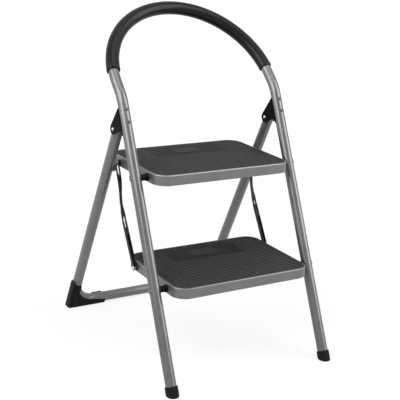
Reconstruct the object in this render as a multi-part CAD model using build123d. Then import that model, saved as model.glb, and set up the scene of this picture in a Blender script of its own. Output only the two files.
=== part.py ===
from build123d import *
import os
from math import cos, radians, sin, sqrt, tan

# Folding two-step stool, in millimetres: +X to the right, +Y to the rear, +Z up.
# It stands open on its four feet; the origin is on the floor, in the middle of its bounding box.

# Tubes of the front and rear frames
tube_diameter = 25.0
tube_wall = 1.0

# Front frame: two leaning legs joined by a hoop that bends further back
front_lean = 25.0            # degrees from the vertical
leg_end = 10.0               # floor to the cut end of the tube, along the leg
bend_along = 671.0           # floor to the backward bend, along the leg
bend_angle = 20.0            # degrees
bend_radius = 80.0
hoop_rise = 38.0             # bend to the start of the half circle

# Foam grip on the hoop
grip_diameter = 33.0
grip_start = 5.6             # degrees round the half circle, from the right
grip_stop = 171.6
grip_clearance = 0.1
grip_end_round = 3.0

# Rubber caps on the front legs
cap_wall = 2.2
cap_length = 21.5            # floor to the cap's rim, along the leg
cap_clearance = 0.1
cap_round = 1.3
sole_round = 2.5

# Hinge brackets behind the front legs
hinge_along = 607.5          # floor to the hinge pin, along the leg
hinge_behind = 44.0          # leg's axis to the hinge pin
bracket_top = 645.5          # along the leg
bracket_bottom = 584.0
cheek_bottom = 594.0         # lower end of the cheeks where they meet the web
cheek_front = 2.0            # leg's axis to the front edge of the cheeks
bracket_sheet = 1.6
bracket_side_clearance = 0.4
bracket_lobe = 12.5          # radius round the hinge pin
hinge_pin_diameter = 7.0
hinge_head_diameter = 8.6
hinge_head_height = 2.2
running_clearance = 0.06

# Rivets that hold the brackets to the legs
bracket_rivet_diameter = 5.0
bracket_rivet_head = 8.0
bracket_rivet_head_height = 2.0
bracket_rivets_along = (610.0, 639.0)
rivet_clearance = 0.05

# Rear frame: a U of tube hung from the hinge pins
rear_lean = 24.8             # degrees from the vertical
rear_bar_height = 14.7       # floor to the bar's axis
rear_bend_radius = 66.0
rear_leg_overrun = 8.0       # hinge pin to the tube's upper end

# Moulded corner feet of the rear frame
rear_foot_wall = 1.7
rear_foot_tip = 80.5             # bar's axis to the tip of the collar, along the leg
rear_foot_rim = ((-10.5, 71.5), (7.5, 69.0), (7.5, 51.5), (5.2, 48.5))   # rest of the collar
rear_foot_throat = (19.5, 25.5)  # middle of the edge round the bend
rear_foot_throat_end = (47.0, 9.0)
rear_foot_reach = 89.0           # leg's axis to the end of the boot, along the bar
rear_foot_end_lap = 1.5          # boot's upper edge at that end, above the bar's axis
rear_foot_back_drop = 6.0        # the rear wall stands lower than the front wall
rear_foot_lip = (58.0, 87.0)     # lip on the rear wall, along the bar
rear_foot_lip_lap = 7.0
rear_foot_clearance = 0.1
rear_foot_round = 8.0
rear_foot_sole_round = 2.5

# Treads: pressed trays with a skirt, a recess and an inlaid mat
tread_width = 360.0
tread_depth = 250.0
tread_corner = 34.0
tread_skirt = 24.0
tread_sheet = 1.0
tread_rim = 3.0
tread_rim_round = 2.2
tread_hem = 7.0
mat_thickness = 3.0
mat_edge_gap = 0.8

# Tread pivots on the front legs
upper_pivot_along = 485.0    # floor to the upper pivot, along the leg
step_pitch = 251.5           # between the two pivots, along the leg
pivot_below_top = 14.0
pivot_from_front = 54.0
axle_diameter = 8.0
axle_head_diameter = 13.0
axle_head_height = 1.6
bush_diameter = 15.0
bush_flange_diameter = 18.0
bush_flange_length = 3.0
side_gap = 0.3               # between pieces that turn past each other

# Links that tie the rears of the two treads together
link_reach = 140.5           # tread pivot to link pin, to the rear
link_drop = 1.0              # tread pivot to link pin, downwards
link_width = 6.4             # upper part, seen from the side
link_lower_width = 8.6
link_eye_diameter = 12.0
link_depth = 8.5             # across, from the tread's side outwards
link_sheet = 1.4
link_waist = 4.4             # across, at the narrowest place
link_spacer = 1.2            # washer between the skirt and the link
link_spacer_diameter = 12.0
link_knee_radius = 80.0
link_knees = ((50.0, 2.0), (92.0, 14.0), (140.0, 13.0))   # down the link, and how far it bows back
link_fork = (24.0, 38.0)     # down the link: the fork's gap narrows, and closes
link_narrow = (40.0, 74.0, 102.0, 122.0)   # the link narrows, is at its waist, and widens again
link_window = (122.0, 133.0, 152.0, 163.0)   # the window opens, is full, narrows and closes
link_channel_start = 170.0
link_pin_diameter = 7.0
link_pin_head_diameter = 11.0
link_pin_head_height = 2.0
washer_clearance = 0.1
loop_clearance = 0.2         # in the lower eyes of the links

# Saddles on the rear legs, which carry the ends of the upper link pins
saddle_depth = 5.5
saddle_clearance = 0.3
saddle_front = 9.5
saddle_rear = 11.0
saddle_above = 8.0
saddle_below = 17.5
saddle_floor = 9.5
saddle_tail = 6.0
saddle_wrap = 4.0
saddle_rivet_diameter = 4.0
saddle_rivet_head = 6.4
saddle_rivet_head_height = 1.6
saddle_rivet_sink = 2.0
saddle_rivet_below = 12.5
pin_collar = 0.9             # collar of the upper link pins, between the links and the saddles
pin_reach = 2.4              # how far the upper link pins reach into the saddles

# From the treads out to the legs: the legs stand apart by what lies between them and the treads
half_tread = tread_width / 2
link_inside = half_tread + link_spacer
link_outside = link_inside + link_depth
collar_inside = link_outside + washer_clearance
collar_outside = collar_inside + pin_collar
saddle_inside = collar_outside + saddle_clearance
leg_inside = saddle_inside + saddle_depth
tube_radius = tube_diameter / 2
half_spacing = leg_inside + tube_radius
leg_spacing = 2 * half_spacing

# Local frames: along and behind the front legs, and along and behind the rear legs
lean = radians(front_lean)
back_lean = radians(rear_lean)
front_axes = Plane(origin=(0, 0, 0), x_dir=(1, 0, 0), z_dir=(0, sin(lean), cos(lean)))


def leg_point(along, behind=0.0):
    """Y and Z of a point beside the front legs."""
    return along * sin(lean) + behind * cos(lean), along * cos(lean) - behind * sin(lean)


hinge_y, hinge_z = leg_point(hinge_along, hinge_behind)
rear_up = (0, -sin(back_lean), cos(back_lean))
rear_axes = Plane(origin=(0, hinge_y, hinge_z), x_dir=(1, 0, 0), z_dir=rear_up)
rear_length = (hinge_z - rear_bar_height) / cos(back_lean)
upper_y, upper_z = leg_point(upper_pivot_along)
lower_y, lower_z = leg_point(upper_pivot_along - step_pitch)
upper_axes = Plane(origin=(0, upper_y, upper_z))
lower_axes = Plane(origin=(0, lower_y, lower_z))


def at_side(x):
    """Drawing plane across X, with the frame's rearward and upward axes."""
    return Plane.YZ.offset(x)


def rod(diameter, x_from, x_to, y=0.0, z=0.0):
    """Round bar along X between two stations."""
    return extrude(at_side(x_from) * Pos(y, z) * Circle(diameter / 2), x_to - x_from)


def cap_of(diameter, height):
    """Domed rivet head on the XY plane, rising along Z."""
    ball = (diameter * diameter / 4 + height * height) / (2 * height)
    profile = Polyline((0, height), (0, 0), (diameter / 2, 0))
    profile += RadiusArc((0, height), (diameter / 2, 0), ball)
    return revolve(Plane.XZ * make_face(profile.edges()), Axis.Z)


def dome(diameter, height, x, outward, y=0.0, z=0.0):
    """Domed rivet head on the plane at x, rising outwards (+1 or -1 along X)."""
    return Pos(x, y, z) * Rot(0, 90 * outward, 0) * cap_of(diameter, height)


def mirrored(part):
    """The same piece on the other side of the stool."""
    return mirror(part, about=Plane.YZ)


def tube_along(path):
    """Round tube of the frames, swept along a wire."""
    ring = Circle(tube_radius) - Circle(tube_radius - tube_wall)
    return sweep(Plane(path @ 0, z_dir=path % 0) * ring, path=path)


# Front frame, in the leg's own axes
bend = radians(bend_angle)
bend_tangent = bend_radius * tan(bend / 2)


def hoop_point(x, rise):
    """Point in the hoop's plane, which leans back from the bend."""
    return Vector(x, rise * sin(bend), bend_along + rise * cos(bend))


def leg_run(x):
    """Straight leg, bend and straight rise up to the hoop, at one side."""
    bend_start = Vector(x, 0, bend_along - bend_tangent)
    bend_middle = Vector(
        x,
        bend_radius * (1 - cos(bend / 2)),
        bend_along - bend_tangent + bend_radius * sin(bend / 2),
    )
    bend_end = hoop_point(x, bend_tangent)
    return [
        Line((x, 0, leg_end), bend_start),
        ThreePointArc(bend_start, bend_middle, bend_end),
        Line(bend_end, hoop_point(x, hoop_rise)),
    ]


hoop_arc = ThreePointArc(
    hoop_point(-half_spacing, hoop_rise),
    hoop_point(0, hoop_rise + half_spacing),
    hoop_point(half_spacing, hoop_rise),
)
front_path = Wire(leg_run(-half_spacing) + [hoop_arc] + leg_run(half_spacing))
front_tube = tube_along(front_path)
for side in (-1, 1):
    for along in bracket_rivets_along:
        hole = Cylinder(bracket_rivet_diameter / 2 + rivet_clearance, 2 * tube_diameter)
        front_tube -= Pos(side * half_spacing, 0, along) * Rot(90, 0, 0) * hole
    for along in (upper_pivot_along, upper_pivot_along - step_pitch):
        ends = (side * (half_spacing - tube_diameter), side * (half_spacing + tube_diameter))
        front_tube -= rod(axle_diameter + 2 * rivet_clearance, min(ends), max(ends), 0, along)

# Foam grip: a thick sleeve round most of the half circle
hoop_axes = Plane(
    origin=hoop_point(0, hoop_rise), x_dir=(1, 0, 0), z_dir=(0, -cos(bend), sin(bend))
)
grip_section = Circle(grip_diameter / 2) - Circle(tube_radius + grip_clearance)
grip_sweep = grip_stop - grip_start
grip = revolve(Plane.XZ * Pos(half_spacing, 0) * grip_section, Axis.Z, grip_sweep)
grip_rings = grip.edges().filter_by(GeomType.CIRCLE)
grip_rims = [ring for ring in grip_rings if abs(ring.radius - grip_diameter / 2) < 0.01]
grip = fillet(grip_rims, grip_end_round)
grip = hoop_axes * Rot(0, 0, grip_start) * grip

# Front caps: a sleeve over the leg's end with a sole that is flat on the floor
cap_radius = tube_radius + cap_clearance + cap_wall
cap = Cylinder(cap_radius, 2 * cap_length)
cap = fillet(cap.edges().group_by(Axis.Z)[-1], cap_round)
cap -= Pos(0, 0, leg_end) * Cylinder(
    tube_radius + cap_clearance, cap_length, align=(Align.CENTER, Align.CENTER, Align.MIN)
)
front_foot_right = front_axes * Pos(half_spacing, 0, 0) * cap
below_floor = Pos(half_spacing, 0, 0) * Box(
    4 * cap_radius, 8 * cap_radius, 4 * cap_length, align=(Align.CENTER, Align.CENTER, Align.MAX)
)
front_foot_right -= below_floor
sole = front_foot_right.faces().sort_by(Axis.Z)[0]
front_foot_right = fillet(sole.edges(), sole_round)

# Hinge bracket: a sheet that hugs the rear of the leg, with two cheeks that taper to the pin
bracket_half = tube_radius + bracket_side_clearance + bracket_sheet
cheek = make_hull(
    (
        Line((cheek_front, bracket_top), (cheek_front, cheek_bottom))
        + Pos(hinge_behind, hinge_along) * CenterArc((0, 0), bracket_lobe, 0, 360)
    ).edges()
)
leg_bar = Pos(half_spacing, 0, 0) * Cylinder(tube_radius + rivet_clearance, 4 * bracket_top)
web_bar = Pos(half_spacing, 0, 0) * Cylinder(tube_radius + bracket_sheet, 4 * bracket_top)
cheek_inside = half_spacing - bracket_half + bracket_sheet
pocket = extrude(
    at_side(cheek_inside)
    * Pos(cheek_front, 0)
    * Rectangle(4 * hinge_behind, 4 * bracket_top, align=(Align.MIN, Align.CENTER)),
    2 * (bracket_half - bracket_sheet),
)
bracket = extrude(at_side(half_spacing - bracket_half) * cheek, 2 * bracket_half) - (pocket - web_bar)
web = extrude(
    at_side(cheek_inside)
    * Pos(cheek_front, bracket_bottom)
    * Rectangle(tube_diameter, bracket_top - bracket_bottom, align=(Align.MIN, Align.MIN)),
    2 * (bracket_half - bracket_sheet),
)
bracket += web & web_bar
bracket -= leg_bar
bracket -= rod(
    hinge_pin_diameter + 2 * rivet_clearance,
    half_spacing - 2 * bracket_half,
    half_spacing + 2 * bracket_half,
    hinge_behind,
    hinge_along,
)
for along in bracket_rivets_along:
    hole = Cylinder(bracket_rivet_diameter / 2 + rivet_clearance, 4 * tube_diameter, rotation=(90, 0, 0))
    bracket -= Pos(half_spacing, 0, along) * hole

# Rivets through the legs and the bracket webs, domed in front and flat behind
rivet_back = tube_radius + bracket_sheet
rivet_tail = bracket_rivet_head_height / 2
rivet = Pos(0, 0, -rivet_back - rivet_tail) * Cylinder(
    bracket_rivet_diameter / 2,
    rivet_back + tube_radius + rivet_tail + bracket_rivet_head_height / 2,
    align=(Align.CENTER, Align.CENTER, Align.MIN),
)
rivet_sink = tube_radius - sqrt(tube_radius ** 2 - bracket_rivet_head ** 2 / 4)
head = Pos(0, 0, tube_radius) * cap_of(bracket_rivet_head, bracket_rivet_head_height)
head += Pos(0, 0, tube_radius) * Cylinder(
    bracket_rivet_head / 2, rivet_sink, align=(Align.CENTER, Align.CENTER, Align.MAX)
)
head -= Cylinder(tube_radius + rivet_clearance, 4 * tube_diameter, rotation=(90, 0, 0))
rivet += head
rivet += Pos(0, 0, -rivet_back) * Cylinder(
    bracket_rivet_head / 2, rivet_tail, align=(Align.CENTER, Align.CENTER, Align.MAX)
)
rivet_places = [
    Pos(side * half_spacing, 0, along) * Rot(90, 0, 0)
    for side in (-1, 1)
    for along in bracket_rivets_along
]
bracket_rivets = [front_axes * place * rivet for place in rivet_places]

# Hinge pins: from cheek to cheek, with a dome at each end
pin_inner = half_spacing - bracket_half
pin_outer = half_spacing + bracket_half
hinge_pin = rod(
    hinge_pin_diameter,
    pin_inner - hinge_head_height / 2,
    pin_outer + hinge_head_height / 2,
    hinge_behind,
    hinge_along,
)
hinge_pin += dome(hinge_head_diameter, hinge_head_height, pin_outer, 1, hinge_behind, hinge_along)
hinge_pin += dome(hinge_head_diameter, hinge_head_height, pin_inner, -1, hinge_behind, hinge_along)
hinge_pin = front_axes * hinge_pin

# Step axles and their bushes, between the legs and the tread skirts
bush = rod(bush_diameter, half_tread + side_gap, half_spacing)
bush += rod(bush_flange_diameter, half_tread + side_gap, half_tread + side_gap + bush_flange_length)
bush -= rod(axle_diameter + 2 * rivet_clearance, 0, leg_spacing)
bush -= Pos(half_spacing, 0, 0) * Cylinder(tube_radius + rivet_clearance, 4 * bush_diameter)
axle_inner = half_tread - tread_sheet - side_gap
axle_outer = half_spacing + tube_radius
axle = rod(axle_diameter, axle_inner - axle_head_height / 2, axle_outer + axle_head_height / 2)
axle += dome(axle_head_diameter, axle_head_height, axle_inner, -1)
axle_dome = Pos(half_spacing, 0, 0) * Cylinder(tube_radius + axle_head_height, axle_head_diameter)
axle_dome &= rod(axle_head_diameter, half_spacing, half_spacing + tube_diameter)
axle_dome -= Pos(half_spacing, 0, 0) * Cylinder(tube_radius + rivet_clearance, 4 * axle_head_diameter)
axle += axle_dome
pivots_along = (upper_pivot_along, upper_pivot_along - step_pitch)
bushes = [front_axes * Pos(0, 0, along) * bush for along in pivots_along]
axles = [front_axes * Pos(0, 0, along) * axle for along in pivots_along]

# Rear frame, in the rear leg's own axes: down one leg, across the bar and up the other
rear_path = FilletPolyline(
    (-half_spacing, 0, rear_leg_overrun),
    (-half_spacing, 0, -rear_length),
    (half_spacing, 0, -rear_length),
    (half_spacing, 0, rear_leg_overrun),
    radius=rear_bend_radius,
)
rear_tube = tube_along(rear_path)
for side in (-1, 1):
    ends = (side * (half_spacing - tube_diameter), side * (half_spacing + tube_diameter))
    rear_tube -= rod(hinge_pin_diameter + 2 * running_clearance, min(ends), max(ends))

# Rear foot: a boot that wraps the outer and lower side of the bend, with a lip behind the bar
foot_half = tube_radius + rear_foot_wall
foot_depth = 2 * tube_diameter


def foot_point(inward, above):
    """Point of the foot's outline, from the right leg's axis and the bar's axis."""
    return half_spacing - inward, above - rear_length


def foot_outline(drop, *outside):
    """Face between the boot's inner edge, lowered by a drop, and the points outside it."""
    rim = [foot_point(inward - drop, above - drop) for inward, above in rear_foot_rim]
    throat = foot_point(*[place - drop for place in rear_foot_throat])
    throat_end = foot_point(*[place - drop for place in rear_foot_throat_end])
    bar_end = foot_point(rear_foot_reach, rear_foot_end_lap - drop)
    edges = [
        Polyline(*rim),
        ThreePointArc(rim[-1], throat, throat_end),
        Polyline(throat_end, bar_end, *[foot_point(*place) for place in outside], rim[0]),
    ]
    return make_face((Curve() + edges).edges())


foot_face = foot_outline(
    0, (rear_foot_reach, -foot_depth), (-foot_half, -foot_depth), (-foot_half, rear_foot_tip)
)
foot = extrude(Plane.XZ * foot_face, foot_half, both=True)
outer_edges = foot.edges().filter_by(Axis.Z).group_by(Axis.X)[-1]
foot = fillet(outer_edges, rear_foot_round)
back_face = foot_outline(
    rear_foot_back_drop,
    (2 * rear_foot_reach, 0),
    (2 * rear_foot_reach, 2 * rear_foot_tip),
    (0, 2 * rear_foot_tip),
)
foot -= extrude(Plane.XZ.offset(-2 * foot_half) * back_face, 1.5 * foot_half)
lip_start, lip_end = rear_foot_lip
lip_x, lip_z = foot_point(lip_end, -rear_foot_back_drop)
foot += Pos(lip_x, foot_half, lip_z) * Box(
    lip_end - lip_start,
    foot_half / 2,
    rear_foot_lip_lap + rear_foot_back_drop,
    align=(Align.MIN, Align.MAX, Align.MIN),
)
groove = sweep(
    Plane(rear_path @ 0, z_dir=rear_path % 0) * Circle(tube_radius + rear_foot_clearance), path=rear_path
)
foot = rear_axes * (foot - groove)
floor_block = Pos(0, rear_axes.origin.Y, 0) * Box(
    4 * leg_spacing, 8 * leg_spacing, 8 * foot_depth, align=(Align.CENTER, Align.CENTER, Align.MAX)
)
rear_foot_right = foot - floor_block
sole = rear_foot_right.faces().sort_by(Axis.Z)[0]
rear_foot_right = fillet(sole.edges().group_by(Axis.X)[-1], rear_foot_sole_round)

# Saddles: hooks on the inner side of the rear legs, open to the rear and upwards
pin_dy = upper_y + link_reach - hinge_y
pin_dz = upper_z - link_drop - hinge_z
pin_behind = pin_dy * cos(back_lean) + pin_dz * sin(back_lean)
pin_along = pin_dz * cos(back_lean) - pin_dy * sin(back_lean)
seat = link_pin_diameter / 2 + saddle_clearance


def saddle_point(behind, above):
    """Point of the saddle's outline, from the leg's axis and the link pin."""
    return behind, pin_along + above


saddle_edges = [
    ThreePointArc(
        saddle_point(pin_behind - seat, 0),
        saddle_point(pin_behind - seat * cos(radians(45)), -seat * sin(radians(45))),
        saddle_point(pin_behind, -seat),
    ),
    Polyline(
        saddle_point(pin_behind, -seat),
        saddle_point(saddle_rear, -seat),
        saddle_point(saddle_rear, -saddle_floor),
        saddle_point(saddle_tail, -saddle_below),
        saddle_point(-saddle_tail, -saddle_below),
        saddle_point(-saddle_front, -saddle_floor),
        saddle_point(-saddle_front, saddle_above),
        saddle_point(pin_behind - seat, saddle_above),
        saddle_point(pin_behind - seat, 0),
    ),
]
saddle_face = make_face((Curve() + saddle_edges).edges())
saddle = extrude(at_side(saddle_inside) * saddle_face, saddle_depth + saddle_wrap)
saddle -= Pos(half_spacing, 0, 0) * Cylinder(tube_radius + rivet_clearance, 4 * rear_length)
rivet_start = saddle_inside + saddle_rivet_sink
rivet_end = leg_inside + 2 * tube_wall
rivet_along = pin_along - saddle_rivet_below
hole = rod(saddle_rivet_diameter + 2 * rivet_clearance, saddle_inside, half_spacing, 0, rivet_along)
saddle -= hole
saddle -= rod(saddle_rivet_head + 2 * rivet_clearance, saddle_inside, rivet_start, 0, rivet_along)
rear_tube -= hole
rear_tube -= mirrored(hole)
saddle_rivet = rod(
    saddle_rivet_diameter, rivet_start - saddle_rivet_head_height / 2, rivet_end, 0, rivet_along
)
saddle_rivet += dome(saddle_rivet_head, saddle_rivet_head_height, rivet_start, -1, 0, rivet_along)
saddle_right = rear_axes * saddle
rear_tube = rear_axes * rear_tube

# Tread tray, with its pivot at the local origin: rolled rim, recess for the mat, open below
tray_middle = tread_depth / 2 - pivot_from_front
tray_bottom = pivot_below_top - tread_skirt


def tread_block(inset, bottom, top):
    """Rounded block of the tread's plan, drawn in by an inset."""
    plan = RectangleRounded(tread_width - 2 * inset, tread_depth - 2 * inset, tread_corner - inset)
    return extrude(Plane.XY.offset(bottom) * Pos(0, tray_middle) * plan, top - bottom)


tray = tread_block(0, tray_bottom, pivot_below_top)
tray = fillet(tray.edges().group_by(Axis.Z)[-1], tread_rim_round)
recess_floor = pivot_below_top - mat_thickness
tray -= tread_block(tread_rim, recess_floor, pivot_below_top)
tray -= tread_block(tread_sheet, tray_bottom + tread_sheet, recess_floor - tread_sheet)
tray -= tread_block(tread_hem, tray_bottom, tray_bottom + tread_sheet)
tray -= rod(axle_diameter + 2 * running_clearance, -tread_width, tread_width)
tray -= rod(link_pin_diameter + 2 * rivet_clearance, -tread_width, tread_width, link_reach, -link_drop)
mat = tread_block(tread_rim + mat_edge_gap, recess_floor, pivot_below_top)

# Link pins and spacers on the tread's sides
spacer = rod(link_spacer_diameter, half_tread, link_inside - washer_clearance, link_reach, -link_drop)
spacer -= rod(link_pin_diameter + 2 * rivet_clearance, 0, leg_spacing, link_reach, -link_drop)


def link_pin(x_end):
    """Pin from inside the skirt out to x_end, with a domed inner head."""
    start = half_tread - tread_sheet - link_pin_head_height / 2
    pin = rod(link_pin_diameter, start, x_end, link_reach, -link_drop)
    return pin + dome(
        link_pin_head_diameter, link_pin_head_height, half_tread - tread_sheet, -1, link_reach, -link_drop
    )


upper_pin = link_pin(saddle_inside + pin_reach)
upper_pin += rod(link_pin_head_diameter, collar_inside, collar_outside, link_reach, -link_drop)
lower_pin = link_pin(collar_inside + link_pin_head_height / 2)
lower_pin += dome(link_pin_head_diameter, link_pin_head_height, collar_inside, 1, link_reach, -link_drop)

# Link: a pressed strip, forked at the top, with a waist, a window and a channelled lower part
eye_y, eye_z = upper_y + link_reach, upper_z - link_drop
eye_along = eye_y * sin(lean) + eye_z * cos(lean)
eye_behind = eye_y * cos(lean) - eye_z * sin(lean)


def link_point(down, bow):
    """Point of the link's side view, from its upper eye."""
    return eye_behind + bow, eye_along - down


link_line = FilletPolyline(
    link_point(0, 0),
    *[link_point(down, bow) for down, bow in link_knees],
    link_point(step_pitch, 0),
    radius=link_knee_radius,
)
strap = trace(link_line, link_width)
lower_line = Line(link_point(*link_knees[-1]), link_point(step_pitch, 0))
strap += trace(lower_line, link_lower_width)
for down in (0, step_pitch):
    strap += Pos(*link_point(down, 0)) * Circle(link_eye_diameter / 2)
link = extrude(at_side(link_inside) * strap, link_depth)
link_middle = link_inside + link_depth / 2
gap_half = link_depth / 2 - link_sheet
link_end = step_pitch + link_eye_diameter


def front_view(right_side):
    """Face of the link seen from the front, mirrored from the points of its right side."""
    points = [(link_middle + across, eye_along - down) for across, down in right_side]
    points += [(link_middle - across, eye_along - down) for across, down in reversed(right_side)]
    face = make_face(Polyline(*points, close=True).edges())
    return extrude(Plane.XZ * face, 2 * link_reach, both=True)


narrow, waist_start, waist_end, wide = link_narrow
link &= front_view(
    [
        (link_depth / 2, -link_eye_diameter),
        (link_depth / 2, narrow),
        (link_waist / 2, waist_start),
        (link_waist / 2, waist_end),
        (link_depth / 2, wide),
        (link_depth / 2, link_end),
    ]
)
fork_narrows, fork_closes = link_fork
link -= front_view(
    [(gap_half, -link_eye_diameter), (gap_half, fork_narrows), (link_sheet / 4, fork_closes)]
)
opens, full, narrows, closes = link_window
link -= front_view(
    [(link_sheet / 4, opens), (gap_half, full), (gap_half, narrows), (link_sheet / 4, closes)]
)
channel = front_view([(gap_half, link_channel_start), (gap_half, link_end)])
channel_line = Line(link_point(*link_knees[-1]), link_point(link_end, 0))
channel_side = Pos(-link_sheet - link_lower_width, 0) * trace(channel_line, 3 * link_lower_width)
link -= channel & extrude(at_side(link_inside) * channel_side, link_depth)
upper_eye = (link_pin_diameter + 2 * running_clearance, *link_point(0, 0))
lower_eye = (link_pin_diameter + 2 * loop_clearance, *link_point(step_pitch, 0))
for diameter, behind, along in (upper_eye, lower_eye):
    link -= rod(diameter, 0, leg_spacing, behind, along)
link_right = front_axes * link


def both_sides(parts):
    """Pieces of the right side and their mirror images."""
    return list(parts) + [mirrored(part) for part in parts]


nodes = {
    "front_tube": [front_axes * front_tube],
    "grip": [front_axes * grip],
    "front_foot_left": [mirrored(front_foot_right)],
    "front_foot_right": [front_foot_right],
    "hinge_bracket_left": [mirrored(front_axes * bracket)],
    "hinge_bracket_right": [front_axes * bracket],
    "bracket_rivets": bracket_rivets,
    "hinge_pins": both_sides([hinge_pin]),
    "step_bushes": both_sides(bushes),
    "step_axles": both_sides(axles),
    "rear_tube": [rear_tube],
    "rear_foot_left": [mirrored(rear_foot_right)],
    "rear_foot_right": [rear_foot_right],
    "saddle_left": [mirrored(saddle_right)],
    "saddle_right": [saddle_right],
    "saddle_rivets": both_sides([rear_axes * saddle_rivet]),
    "upper_tray": [upper_axes * tray],
    "upper_mat": [upper_axes * mat],
    "upper_link_pins": both_sides([upper_axes * upper_pin]),
    "upper_link_spacers": both_sides([upper_axes * spacer]),
    "lower_tray": [lower_axes * tray],
    "lower_mat": [lower_axes * mat],
    "lower_link_pins": both_sides([lower_axes * lower_pin]),
    "lower_link_spacers": both_sides([lower_axes * spacer]),
    "link_left": [mirrored(link_right)],
    "link_right": [link_right],
}

# Middle of the bounding box, on the floor
every_solid = [solid for parts in nodes.values() for part in parts for solid in part.solids()]
box = Compound(children=every_solid).bounding_box()
centre = Pos(-(box.min.X + box.max.X) / 2, -(box.min.Y + box.max.Y) / 2, -box.min.Z)
os.makedirs("parts", exist_ok=True)
for name, parts in nodes.items():
    solids = [centre * solid for part in parts for solid in part.solids()]
    export_step(solids[0] if len(solids) == 1 else Compound(children=solids), f"parts/{name}.step")
print("size", box.size, "shift", centre.position)
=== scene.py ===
from math import cos, hypot, pi, radians, sin, sqrt

import bmesh
import bpy
from mathutils import Matrix, Vector, noise


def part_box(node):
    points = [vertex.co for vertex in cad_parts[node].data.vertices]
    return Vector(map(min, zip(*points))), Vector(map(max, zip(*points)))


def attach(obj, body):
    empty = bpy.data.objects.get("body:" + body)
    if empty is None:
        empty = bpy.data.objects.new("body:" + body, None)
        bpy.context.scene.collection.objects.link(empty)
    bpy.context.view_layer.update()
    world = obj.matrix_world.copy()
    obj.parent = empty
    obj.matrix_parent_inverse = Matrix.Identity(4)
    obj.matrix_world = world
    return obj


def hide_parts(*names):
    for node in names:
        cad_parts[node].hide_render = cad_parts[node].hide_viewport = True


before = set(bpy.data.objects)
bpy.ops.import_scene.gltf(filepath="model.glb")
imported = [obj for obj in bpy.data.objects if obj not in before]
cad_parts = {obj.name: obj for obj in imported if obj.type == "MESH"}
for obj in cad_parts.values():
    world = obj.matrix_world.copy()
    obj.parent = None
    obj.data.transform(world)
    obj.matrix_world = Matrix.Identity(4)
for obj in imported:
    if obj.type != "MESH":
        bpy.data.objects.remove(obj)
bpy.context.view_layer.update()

# Front frame: one length of steel tube, bent into two legs and a hoop.
# It has a satin grey powder coat with a fine orange-peel grain, a slight mottle and small
# bright flakes.
tube_dark = 0.104
tube_light = 0.172
tube_metal = 0.78
tube_satin = 0.21
mottle_spots = 18.0          # spots of noise, per metre
flake_spots = 2600.0
peel_spots = 700.0
peel_strength = 0.03
grain_depth = 0.0003


class Wire:
    """A socket in a material's nodes. Sums of wires and numbers become Math nodes."""

    def __init__(self, tree, socket):
        self.tree = tree
        self.socket = socket

    def node(self, kind, settings=None, inputs=None, output=0):
        """A node of any kind: its settings first, then the values or wires of its inputs."""
        made = self.tree.nodes.new(kind)
        for name, value in (settings or {}).items():
            setattr(made, name, value)
        for name, value in (inputs or {}).items():
            if isinstance(value, Wire):
                self.tree.links.new(value.socket, made.inputs[name])
            else:
                made.inputs[name].default_value = value
        return Wire(self.tree, made.outputs[output])

    def maths(self, operation, first, second=0.0):
        return self.node("ShaderNodeMath", {"operation": operation}, {0: first, 1: second})

    def __add__(self, other):
        return self.maths("ADD", self, other)

    __radd__ = __add__

    def __rsub__(self, other):
        return self.maths("SUBTRACT", other, self)

    def __mul__(self, other):
        return self.maths("MULTIPLY", self, other)

    __rmul__ = __mul__

    def grain(self, scale, detail=2.0, roughness=0.5):
        """Noise over the piece, about one spot per 1/scale metres."""
        inputs = {"Vector": self, "Scale": scale, "Detail": detail, "Roughness": roughness}
        return self.node("ShaderNodeTexNoise", {}, inputs)

    def brushed(self, across):
        """Noise drawn out into streaks: one spot count per metre along each axis."""
        return self.node("ShaderNodeMapping", {}, {"Vector": self, "Scale": across}).grain(1.0)

    def ramp(self, low, high):
        """0 up to low, 1 from high on, and smooth between them."""
        inputs = {"Value": self, "From Min": low, "From Max": high}
        return self.node("ShaderNodeMapRange", {"interpolation_type": "SMOOTHSTEP"}, inputs)

    def tint(self, first, second):
        """Colour that goes from first to second as this value goes from 0 to 1."""
        return self.node("ShaderNodeMix", {"data_type": "RGBA"}, {0: self, 6: first, 7: second}, 2)

    def relief(self, strength, depth):
        """Surface normal of a bumpy surface with this value as its height."""
        inputs = {"Strength": strength, "Distance": depth, "Height": self}
        return self.node("ShaderNodeBump", {}, inputs)

    def into(self, shader, name):
        self.tree.links.new(self.socket, shader.inputs[name])


def new_finish(name, **constants):
    """A material with one shader: gives it, the shader and the piece's own coordinates."""
    material = bpy.data.materials.new(name)
    material.use_nodes = True
    tree = material.node_tree
    shader = tree.nodes["Principled BSDF"]
    for socket, value in constants.items():
        shader.inputs[socket.replace("_", " ")].default_value = value
    return material, shader, Wire(tree, tree.nodes.new("ShaderNodeTexCoord").outputs["Object"])


def grey(value):
    """Neutral colour with a trace of blue."""
    return (value, value, value * 1.01, 1.0)


def coat(material, *names):
    """Gives CAD nodes their finish."""
    for name in names:
        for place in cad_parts[name].material_slots:
            place.material = material


def powder_coat(name, dark, light, metal, satin):
    """Satin powder coat; gives the material, its shader, its coordinates and its colour."""
    material, shader, place = new_finish(name, Metallic=metal)
    mottle = place.grain(mottle_spots, 3.0)
    flakes = place.grain(flake_spots, 1.0).ramp(0.60, 0.75)
    peel = place.grain(peel_spots)
    colour = (0.80 * mottle + 0.25 * flakes).tint(grey(dark), grey(light))
    colour.into(shader, "Base Color")
    (satin + 0.10 * mottle + 0.04 * peel).into(shader, "Roughness")
    peel.relief(peel_strength, grain_depth).into(shader, "Normal")
    return material, shader, place, colour


frame_coat = powder_coat("grey_frame_coat", tube_dark, tube_light, tube_metal, tube_satin)[0]
coat(frame_coat, "front_tube")

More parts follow.
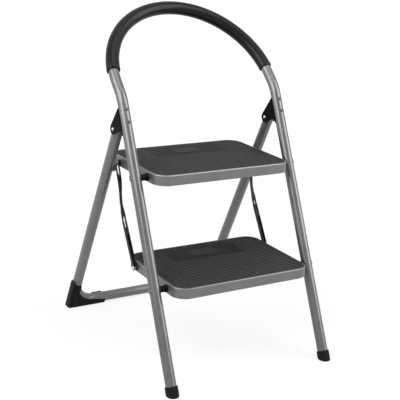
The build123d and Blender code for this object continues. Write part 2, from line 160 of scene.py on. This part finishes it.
# Grip: a thick foam sleeve pushed over the hoop, with rounded ends that flare a little.
# It is closed-cell foam, so its skin is matt with fine pores and very shallow dents.
MM = 0.001
hoop_centre = Vector((0.0, 39.568, 635.002)) * MM
hoop_radius = 209.0 * MM
hoop_across = Vector((1.0, 0.0, 0.0))
hoop_rise = Vector((0.0, sin(radians(45)), cos(radians(45))))
hoop_out = hoop_across.cross(hoop_rise)
grip_start = radians(5.7)
grip_stop = radians(171.5)
grip_bore = 12.62 * MM
grip_radius = 16.0 * MM
grip_lip = 2.6 * MM
grip_flare = 0.25 * MM
grip_flare_length = 20.0 * MM
grip_dent = 0.16 * MM
grip_dent_spots = 45.0
grip_rings = 150
grip_lip_rings = 7
grip_sides = 56
foam_dark = 0.002
foam_light = 0.006
foam_gloss = 0.17
foam_satin = 0.18
pore_spots = 1300.0
smudge_spots = 35.0
dimple_spots = 260.0


def grip_skin(angle):
    """Radius of the sleeve, which swells a little towards both ends."""
    near_end = min(angle - grip_start, grip_stop - angle) * hoop_radius
    return grip_radius + grip_flare * max(0.0, 1.0 - near_end / grip_flare_length) ** 2


def grip_profile():
    """Angle round the hoop and radius of each ring: over the skin, then back along the bore."""
    lip_turn = grip_lip / hoop_radius
    lip = []
    for step in range(grip_lip_rings + 1):
        turn = pi / 2 * step / grip_lip_rings
        radius = grip_skin(grip_start) - grip_lip * (1 - sin(turn))
        lip.append((lip_turn * (1 - cos(turn)), radius))
    rings = [(grip_start + along, radius) for along, radius in lip]
    length = grip_stop - grip_start - 2 * lip_turn
    for step in range(1, grip_rings):
        angle = grip_start + lip_turn + length * step / grip_rings
        rings.append((angle, grip_skin(angle)))
    rings += [(grip_stop - along, radius) for along, radius in reversed(lip)]
    for step in range(grip_rings + 1):
        rings.append((grip_stop - (grip_stop - grip_start) * step / grip_rings, grip_bore))
    return rings


def grip_point(angle, radius, side):
    """One point of a ring, with the shallow dents of the skin."""
    out = hoop_across * cos(angle) + hoop_rise * sin(angle)
    turn = 2 * pi * side / grip_sides
    aside = out * cos(turn) + hoop_out * sin(turn)
    point = hoop_centre + out * hoop_radius + aside * radius
    if radius > grip_bore:
        point += aside * grip_dent * noise.noise(point * grip_dent_spots)
    return point


def mesh_piece(name, mesh, body, material):
    """A finished mesh as a piece that rides on a body."""
    data = bpy.data.meshes.new(name)
    mesh.to_mesh(data)
    mesh.free()
    piece = bpy.data.objects.new(name, data)
    bpy.context.scene.collection.objects.link(piece)
    data.materials.append(material)
    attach(piece, body)
    return piece


def bridge(mesh, first, second):
    """Faces between two closed loops of vertices."""
    for at in range(len(first)):
        after = (at + 1) % len(first)
        mesh.faces.new((first[at], first[after], second[after], second[at])).smooth = True


grip_mesh = bmesh.new()
grip_loops = [
    [grip_mesh.verts.new(grip_point(angle, radius, side)) for side in range(grip_sides)]
    for angle, radius in grip_profile()
]
for first, second in zip(grip_loops, grip_loops[1:] + grip_loops[:1]):
    bridge(grip_mesh, first, second)
bmesh.ops.recalc_face_normals(grip_mesh, faces=grip_mesh.faces)
foam, shader, place = new_finish("black_foam", Specular_IOR_Level=foam_gloss)
pores = place.grain(pore_spots, 3.0, 0.6)
smudge = place.grain(smudge_spots, 3.0)
(0.6 * smudge + 0.4 * pores).tint(grey(foam_dark), grey(foam_light)).into(shader, "Base Color")
(foam_satin + 0.10 * smudge + 0.06 * pores).into(shader, "Roughness")
(pores + 0.5 * place.grain(dimple_spots)).relief(0.25, grain_depth).into(shader, "Normal")
grip = mesh_piece("grip_sleeve", grip_mesh, "front_frame", foam)
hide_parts("grip")

# Front caps: moulded rubber pushed over the ends of the legs, flat on the floor.
# The rubber is matt, with a fine eroded texture from its mould and a dusty sole.
cap_dark = 0.005
cap_light = 0.016
cap_gloss = 0.05
cap_satin = 0.46
cap_mould_spots = 900.0
cap_wipe_spots = 40.0
dust_light = 0.06
dust_height = 6.0 * MM
cap_rubber, shader, place = new_finish("black_cap_rubber", Specular_IOR_Level=cap_gloss)
mould = place.grain(cap_mould_spots, 3.0, 0.6)
wipe = place.grain(cap_wipe_spots, 3.0)
height = place.node("ShaderNodeSeparateXYZ", {}, {"Vector": place}, 2)
dust = (1.0 - height.ramp(0.0, dust_height)) * mould.ramp(0.35, 0.65)
rubber_colour = (0.7 * wipe + 0.3 * mould).tint(grey(cap_dark), grey(cap_light))
(0.6 * dust).tint(rubber_colour, grey(dust_light)).into(shader, "Base Color")
(cap_satin + 0.14 * wipe + 0.06 * mould).into(shader, "Roughness")
mould.relief(0.22, grain_depth).into(shader, "Normal")
coat(cap_rubber, "front_foot_left", "front_foot_right")

# Hinge brackets: steel sheet pressed round the rear of the legs, with two cheeks for the pin.
# Their black coat is smoother than the moulded plastic, with a fine peel and a faint mottle.
sheet_satin = 0.28
sheet_peel_spots = 800.0
sheet_mottle_spots = 30.0


def black_coat(name, dark, light, gloss):
    """Black coat of the pressed pieces, from its darkest to its lightest tone."""
    material, shader, place = new_finish(name, Specular_IOR_Level=gloss)
    peel = place.grain(sheet_peel_spots)
    mottle = place.grain(sheet_mottle_spots, 3.0)
    (0.8 * mottle + 0.2 * peel).tint(grey(dark), grey(light)).into(shader, "Base Color")
    (sheet_satin + 0.14 * mottle + 0.05 * peel).into(shader, "Roughness")
    peel.relief(0.12, grain_depth).into(shader, "Normal")
    return material


bracket_coat = black_coat("black_bracket_coat", dark=0.002, light=0.006, gloss=0.02)
coat(bracket_coat, "hinge_bracket_left", "hinge_bracket_right")

# Bracket rivets and hinge pins: plated steel, headed over by a press.
# Both have the same plating, a little cloudy and scratched; the rivets' copy is painted darker, a
# painted dark reflection on their domes.
cloud_spots = 160.0
scratch_spots = (300.0, 5200.0, 900.0)
scratch_depth = 0.0002
zinc_satin = 0.14


def plating(name, dark, light):
    """Zinc plating, from its darkest to its lightest tone."""
    material, shader, place = new_finish(name, Metallic=1.0)
    cloud = place.grain(cloud_spots, 3.0)
    scratch = place.brushed(scratch_spots)
    (0.7 * cloud + 0.3 * scratch).tint(grey(dark), grey(light)).into(shader, "Base Color")
    (zinc_satin + 0.10 * cloud + 0.06 * scratch).into(shader, "Roughness")
    scratch.relief(0.06, scratch_depth).into(shader, "Normal")
    return material


# Painted reflection: the rivets' plating is painted darker than the pins'.
zinc_painted_dark_reflection = plating("zinc_painted_dark_reflection", dark=0.060, light=0.100)
bright_zinc = plating("bright_zinc", dark=0.380, light=0.560)
coat(zinc_painted_dark_reflection, "bracket_rivets")
coat(bright_zinc, "hinge_pins")

# Step axles: steel pins through the legs, with low heads shaped to the tube.
# They are fitted before painting, so their heads have the frame's grey coat.
coat(frame_coat, "step_axles")

# Step bushes: black moulded spacers between the legs and the tread skirts.
# The mould leaves a fine spark-eroded grain and a low sheen.
plastic_dark = 0.004
plastic_light = 0.013
plastic_gloss = 0.04
plastic_satin = 0.36
spark_spots = 1100.0
flow_spots = 28.0
plastic, shader, place = new_finish("black_plastic", Specular_IOR_Level=plastic_gloss)
spark = place.grain(spark_spots, 3.0, 0.6)
flow = place.grain(flow_spots, 3.0)
plastic_colour = (0.7 * flow + 0.3 * spark).tint(grey(plastic_dark), grey(plastic_light))
plastic_colour.into(shader, "Base Color")
(plastic_satin + 0.14 * flow + 0.06 * spark).into(shader, "Roughness")
spark.relief(0.18, grain_depth).into(shader, "Normal")
coat(plastic, "step_bushes")

# Rear frame: a U of the same tube and coat, hung from the hinge pins; its copy of the coat is
# painted lighter and less metallic, as painted light on the rear legs.
# Moulded boots wrap its two bends, and small saddles are riveted to its legs before painting.
rear_dark = 0.122
rear_light = 0.176
rear_metal = 0.40
# Painted light: this copy of the coat is lighter than the front frame's.
rear_coat_painted_light = powder_coat("grey_rear_coat_painted_light", rear_dark, rear_light, rear_metal, tube_satin)[0]
coat(rear_coat_painted_light, "rear_tube", "saddle_left", "saddle_right", "saddle_rivets")
coat(plastic, "rear_foot_left", "rear_foot_right")

# Treads: pressed steel trays with a rolled rim and a straight skirt, coated like the frame.
# The top of the rolled rim is painted lighter, a painted highlight along its edge; the lower
# tray's rim is painted less light, as painted shade under the upper tray.
tray_dark = 0.135
tray_light = 0.190
tray_metal = 0.70
tray_satin = 0.36
rim_depth = 2.6 * MM
upper_rim_painted_highlight = 0.24
lower_rim_painted_highlight = 0.18


def tray_coat(node, painted_rim_highlight):
    """The coat of one tray, with a painted highlight on its rim at the top of that node's box."""
    material, shader, place, colour = powder_coat(
        "grey_" + node + "_coat", tray_dark, tray_light, tray_metal, tray_satin
    )
    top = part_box(node)[1][2]
    height = place.node("ShaderNodeSeparateXYZ", {}, {"Vector": place}, 2)
    # Painted highlight: the top of the rim is painted lighter.
    rim = height.ramp(top - rim_depth, top - 0.3 * rim_depth)
    rim.tint(colour, grey(painted_rim_highlight)).into(shader, "Base Color")
    return material


coat(tray_coat("upper_tray", upper_rim_painted_highlight), "upper_tray")
coat(tray_coat("lower_tray", lower_rim_painted_highlight), "lower_tray")

# Mats: moulded rubber sheets glued into the trays, with cross ribs inside a raised bead.
# A shallow pocket near the rear edge is for the panel. Sizes are in millimetres, and heights are
# below the tray's rim.
mat_corner = 30.2
mat_thick = 3.0
mat_edge = (                 # inwards from the edge, and height
    (0.0, -1.8), (0.9, -1.2), (1.8, 0.0), (3.8, 0.0), (4.6, -1.1), (6.4, -1.1), (7.2, -0.25)
)
mat_slack = 0.01
corner_rows = 12
row_gap = 0.05
weld_distance = 0.01 * MM
mat_crease = radians(38)
mat_dark = 0.002
mat_light = 0.062
mat_gloss = 0.18
mat_satin = 0.50
mat_mould_spots = 1000.0
mat_wipe_spots = 14.0
rib_pitch = 8.4
rib_depth = 1.5
rib_top = -0.25
rib_sharpness = 1.4
rib_steps = 8
panel_half = 95.0
panel_front = 28.5
panel_rear = 106.5
panel_level = -1.0
panel_wall = 0.8


def rib_level(y):
    """Height of the ribs: broad rounded tops with narrow grooves between them."""
    wave = 0.5 - 0.5 * cos(2 * pi * y / rib_pitch)
    return rib_top - rib_depth * wave ** rib_sharpness


def mat_level(x, y, half_wide, half_deep):
    """Height of the mat's face at one point, from the tray's middle."""
    over_x = abs(x) - (half_wide - mat_corner)
    over_y = abs(y) - (half_deep - mat_corner)
    if over_x > 0 and over_y > 0:
        inset = mat_corner - hypot(over_x, over_y)
    else:
        inset = min(half_wide - abs(x), half_deep - abs(y))
    if inset >= mat_edge[-1][0] - mat_slack / 10:
        along_panel = panel_front - mat_slack < y < panel_rear + mat_slack
        if along_panel and abs(x) < panel_half + mat_slack:
            return panel_level
        return rib_level(y)
    for (near, low), (far, high) in zip(mat_edge, mat_edge[1:]):
        if inset <= far:
            share = max(0.0, inset - near) / (far - near)
            return low + (high - low) * share
    return rib_top


def mat_rows(half_deep):
    """Stations across the mat, from front to rear, where its face changes height."""
    rows = [sign * (half_deep - inset) for inset, _ in mat_edge for sign in (-1, 1)]
    for step in range(1, corner_rows):
        reach = half_deep - mat_corner + mat_corner * sin(pi / 2 * step / corner_rows)
        rows += [reach, -reach]
    ribs = int((half_deep - mat_edge[-1][0]) / rib_pitch * rib_steps)
    rows += [rib_pitch * step / rib_steps for step in range(-ribs, ribs + 1)]
    rows += [panel_front - panel_wall, panel_front, panel_rear, panel_rear + panel_wall]
    rows.sort()
    return [row for row, after in zip(rows, rows[1:]) if after - row > row_gap] + rows[-1:]


def mat_columns(y, half_wide, half_deep):
    """Stations along one row: each edge line of the mat, then the panel's sides."""
    over = abs(y) - (half_deep - mat_corner)
    right = [panel_half, panel_half + panel_wall]
    for inset, _ in reversed(mat_edge):
        reach = half_wide - inset
        if over > 0:
            bow = (mat_corner - inset) ** 2 - over ** 2
            reach = half_wide - mat_corner + sqrt(max(0.0, bow))
        right.append(reach)
    return [-x for x in reversed(right)] + right


def mark_sharp(mesh, angle):
    """Smooth faces, with sharp edges where they meet at more than an angle."""
    for face in mesh.faces:
        face.smooth = True
    for edge in mesh.edges:
        edge.smooth = len(edge.link_faces) == 2 and edge.calc_face_angle(0.0) < angle


def mat_place(node):
    """Half sizes of a mat, and the middle of its upper face."""
    low, high = (Vector(corner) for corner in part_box(node))
    half = (high - low) / 2 / MM
    return half.x, half.y, Vector(((low.x + high.x) / 2, (low.y + high.y) / 2, high.z))


def ribbed_mat(node):
    """The mat of one tray, in the place of its CAD node."""
    half_wide, half_deep, middle = mat_place(node)
    mesh = bmesh.new()
    grid = []
    for y in mat_rows(half_deep):
        row = []
        for x in mat_columns(y, half_wide, half_deep):
            level = mat_level(x, y, half_wide, half_deep)
            row.append(mesh.verts.new(middle + Vector((x, y, level)) * MM))
        grid.append(row)
    for front, rear in zip(grid, grid[1:]):
        for left in range(len(front) - 1):
            mesh.faces.new((front[left], front[left + 1], rear[left + 1], rear[left]))
    bmesh.ops.remove_doubles(mesh, verts=mesh.verts, dist=weld_distance)
    bmesh.ops.dissolve_degenerate(mesh, edges=mesh.edges, dist=weld_distance)
    rim = [edge for edge in mesh.edges if edge.is_boundary]
    walls = bmesh.ops.extrude_edge_only(mesh, edges=rim)["geom"]
    for part in walls:
        if isinstance(part, bmesh.types.BMVert):
            part.co.z = middle.z - mat_thick * MM
    bmesh.ops.contextual_create(mesh, geom=[edge for edge in mesh.edges if edge.is_boundary])
    bmesh.ops.recalc_face_normals(mesh, faces=mesh.faces)
    mark_sharp(mesh, mat_crease)
    return mesh


def mat_rubber(node):
    """Rubber of one mat: painted shade darkens its grooves and the lower slopes of its ribs, so
    only the crests keep the lighter tone, which varies at random.
    """
    material, shader, place = new_finish(node + "_rubber", Specular_IOR_Level=mat_gloss)
    top = mat_place(node)[2].z
    mould = place.grain(mat_mould_spots, 3.0, 0.6)
    wipe = place.grain(mat_wipe_spots, 4.0)
    height = place.node("ShaderNodeSeparateXYZ", {}, {"Vector": place}, 2)
    rib_foot = top + (rib_top - 0.45 * rib_depth) * MM
    rib_crest = top + (rib_top - 0.05 * rib_depth) * MM
    # Painted shade: the rubber is painted darker by height below the crests of the ribs.
    raised = height.ramp(rib_foot, rib_crest)
    rib_tone_painted_shade = raised * (0.6 + 0.3 * wipe + 0.1 * mould)
    rib_tone_painted_shade.tint(grey(mat_dark), grey(mat_light)).into(shader, "Base Color")
    (mat_satin + 0.14 * wipe + 0.08 * mould).into(shader, "Roughness")
    mould.relief(0.2, grain_depth).into(shader, "Normal")
    return material


for node, body in (("upper_mat", "upper_step"), ("lower_mat", "lower_step")):
    mat = mesh_piece("ribbed_" + node, ribbed_mat(node), body, mat_rubber(node))
    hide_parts(node)

# Panels and bare plates: a smooth black panel is glued into each mat, and a plate on the panel.
# Both are thin plastic without any marking; the plate is brushed and has a small bevel.
# Sizes are in millimetres.
panel_thick = 0.3
panel_corner = 3.0
plate_half = (36.0, 20.0)
plate_thick = 0.6
plate_corner = 4.0
inlay_bevel = 0.15
inlay_corner_steps = 6
inlay_crease = radians(30)
inlay_satin = 0.48
brush_spots = (60.0, 2400.0, 600.0)
haze_spots = 60.0


def inlay_outline(half, corner_radius, inset):
    """Points round an inlay, drawn in by an inset."""
    points = []
    for corner in range(4):
        side_x = 1 if corner in (0, 3) else -1
        side_y = 1 if corner in (0, 1) else -1
        for step in range(inlay_corner_steps + 1):
            angle = pi / 2 * (corner + step / inlay_corner_steps)
            x = side_x * (half[0] - corner_radius) + (corner_radius - inset) * cos(angle)
            y = side_y * (half[1] - corner_radius) + (corner_radius - inset) * sin(angle)
            points.append((x, y))
    return points


def inlay(node, half, corner_radius, level, thick):
    """A thin rounded plate in the middle of one mat's panel, with its foot at a level."""
    middle = mat_place(node)[2] + Vector((0.0, (panel_front + panel_rear) / 2, level)) * MM
    mesh = bmesh.new()
    loops = []
    for inset, height in ((0.0, 0.0), (0.0, thick - inlay_bevel), (inlay_bevel, thick)):
        outline = inlay_outline(half, corner_radius, inset)
        loops.append([mesh.verts.new(middle + Vector((x, y, height)) * MM) for x, y in outline])
    for first, second in zip(loops, loops[1:]):
        bridge(mesh, first, second)
    mesh.faces.new(loops[-1])
    mesh.faces.new(list(reversed(loops[0])))
    bmesh.ops.recalc_face_normals(mesh, faces=mesh.faces)
    mark_sharp(mesh, inlay_crease)
    return mesh


def inlay_finish(name, dark, light, gloss):
    """Brushed black plastic, from its darkest to its lightest tone."""
    material, shader, place = new_finish(name, Specular_IOR_Level=gloss)
    brush = place.brushed(brush_spots)
    haze = place.grain(haze_spots, 3.0)
    (0.6 * haze + 0.4 * brush).tint(grey(dark), grey(light)).into(shader, "Base Color")
    (inlay_satin + 0.12 * haze).into(shader, "Roughness")
    brush.relief(0.06, scratch_depth).into(shader, "Normal")
    return material


panel_finish = inlay_finish("smooth_panel", dark=0.007, light=0.018, gloss=0.04)
plate_finish = inlay_finish("bare_plate", dark=0.011, light=0.026, gloss=0.06)
panel_half_sizes = (panel_half - panel_wall, (panel_rear - panel_front) / 2)
for node, body in (("upper_mat", "upper_step"), ("lower_mat", "lower_step")):
    side = body.split("_")[0]
    panel = inlay(node, panel_half_sizes, panel_corner, panel_level, panel_thick)
    mesh_piece(side + "_panel", panel, body, panel_finish)
    plate = inlay(node, plate_half, plate_corner, panel_level + panel_thick, plate_thick)
    mesh_piece(side + "_bare_plate", plate, body, plate_finish)

# Links: steel strips pressed into a fork, a waist, a window and a channel, coated black.
# Zinc-plated pins and moulded spacer washers hold them to the sides of the trays.
# The links have the brackets' black coat with a higher gloss and a tone painted lighter, a painted
# sheen where their faces catch the light.
link_coat = black_coat("black_link_coat", dark=0.010, light=0.024, gloss=0.12)
coat(link_coat, "link_left", "link_right")
coat(bright_zinc, "upper_link_pins", "lower_link_pins")
coat(plastic, "upper_link_spacers", "lower_link_spacers")

# Floor: a wide pale sheet that stays white to the eye and keeps the stool's soft shadow.
# The white glow grows with the distance, so the sheet has no visible end.
floor_radius = 14.0
floor_sides = 96
floor_grey = 0.85
floor_glow = 0.75
floor_near = (1.08, 1.08, 1.08, 1.0)
floor_far = (1.1, 1.1, 1.1, 1.0)
floor_fade = (0.7, 2.4)


def seen_directly(tree):
    """1 for rays from the eye and for reflections, 0 for the light on the object."""
    path = tree.nodes.new("ShaderNodeLightPath")
    rays = ("Is Camera Ray", "Is Glossy Ray", "Is Transmission Ray")
    eye, mirror, glass = (Wire(tree, path.outputs[ray]) for ray in rays)
    return eye.maths("MAXIMUM", eye, eye.maths("MAXIMUM", mirror, glass))


floor_mesh = bmesh.new()
bmesh.ops.create_circle(floor_mesh, cap_ends=True, segments=floor_sides, radius=floor_radius)
floor_data = bpy.data.meshes.new("floor")
floor_mesh.to_mesh(floor_data)
floor_mesh.free()
floor = bpy.data.objects.new("floor", floor_data)
bpy.context.scene.collection.objects.link(floor)
floor_sheet = bpy.data.materials.new("pale_floor")
floor_sheet.use_nodes = True
tree = floor_sheet.node_tree
tree.nodes.clear()
seen = seen_directly(tree)
place = Wire(tree, tree.nodes.new("ShaderNodeTexCoord").outputs["Object"])
distance = place.node("ShaderNodeVectorMath", {"operation": "LENGTH"}, {0: place}, 1)
away = distance.ramp(*floor_fade)
share = seen * (floor_glow + (1.0 - floor_glow) * away)
sheet = seen.node("ShaderNodeBsdfDiffuse", {}, {"Color": grey(floor_grey)})
glow_colour = away.tint(floor_near, floor_far)
glow = seen.node("ShaderNodeEmission", {}, {"Color": glow_colour, "Strength": 1.0})
mixed = seen.node("ShaderNodeMixShader", {}, {0: share, 1: sheet, 2: glow})
mixed.into(tree.nodes.new("ShaderNodeOutputMaterial"), "Surface")
floor_data.materials.append(floor_sheet)

# Studio: white all round to the eye, with an even grey fill for the object.
# Large soft boxes stand at the left and at the front right, a weak one stands low behind, and
# one hangs above.
fill_level = 0.15
world = bpy.data.worlds.new("studio")
bpy.context.scene.world = world
world.use_nodes = True
tree = world.node_tree
tree.nodes.clear()
seen = seen_directly(tree)
fill = seen.node("ShaderNodeBackground", {}, {"Color": grey(fill_level), "Strength": 1.0})
white = seen.node("ShaderNodeBackground", {}, {"Color": (1.0, 1.0, 1.0, 1.0), "Strength": 1.0})
mixed = seen.node("ShaderNodeMixShader", {}, {0: seen, 1: fill, 2: white})
mixed.into(tree.nodes.new("ShaderNodeOutputWorld"), "Surface")


def soft_box(name, place, aim, wide, tall, power):
    """Soft lamp at a place, turned to a height on the stool's middle line."""
    lamp = bpy.data.lights.new(name, "AREA")
    lamp.shape = "RECTANGLE"
    lamp.size = wide
    lamp.size_y = tall
    lamp.energy = power
    lit = bpy.data.objects.new(name, lamp)
    lit.location = place
    view = Vector((0.0, 0.0, aim)) - Vector(place)
    lit.rotation_euler = view.to_track_quat("-Z", "Y").to_euler()
    bpy.context.scene.collection.objects.link(lit)


soft_box("left_box", place=(-2.16, -0.40, 1.95), aim=0.5, wide=2.4, tall=2.1, power=70.0)
soft_box("right_box", place=(1.68, -1.51, 1.85), aim=0.5, wide=1.8, tall=2.6, power=66.0)
soft_box("rear_box", place=(-1.90, 1.10, 0.90), aim=0.4, wide=1.6, tall=1.6, power=5.0)
soft_box("top_box", place=(0.0, -0.3, 2.6), aim=0.4, wide=1.4, tall=1.2, power=11.0)

# Camera: the photograph's place and lens, with its slight tilt.
camera_azimuth = radians(-32.015)
camera_elevation = radians(16.976)
camera_roll = radians(3.07)
camera_place = Vector((-1174.35, -1883.727, 1023.86)) * MM
frame_pixels = 400.0
lens_pixels = 961.675
sensor = 36.0
far_clip = 100.0
back = Vector(
    (
        sin(camera_azimuth) * cos(camera_elevation),
        -cos(camera_azimuth) * cos(camera_elevation),
        sin(camera_elevation),
    )
)
level = Vector((cos(camera_azimuth), sin(camera_azimuth), 0.0))
upright = back.cross(level)
right = level * cos(camera_roll) + upright * sin(camera_roll)
up = upright * cos(camera_roll) - level * sin(camera_roll)
lens = bpy.data.cameras.new("camera")
lens.sensor_fit = "HORIZONTAL"
lens.sensor_width = sensor
lens.lens = lens_pixels * sensor / frame_pixels
lens.clip_end = far_clip
camera = bpy.data.objects.new("camera", lens)
camera_turn = Matrix((right, up, back)).transposed().to_4x4()
camera.matrix_world = Matrix.Translation(camera_place) @ camera_turn
bpy.context.scene.collection.objects.link(camera)
bpy.context.scene.camera = camera
bpy.context.scene.view_settings.view_transform = "Standard"
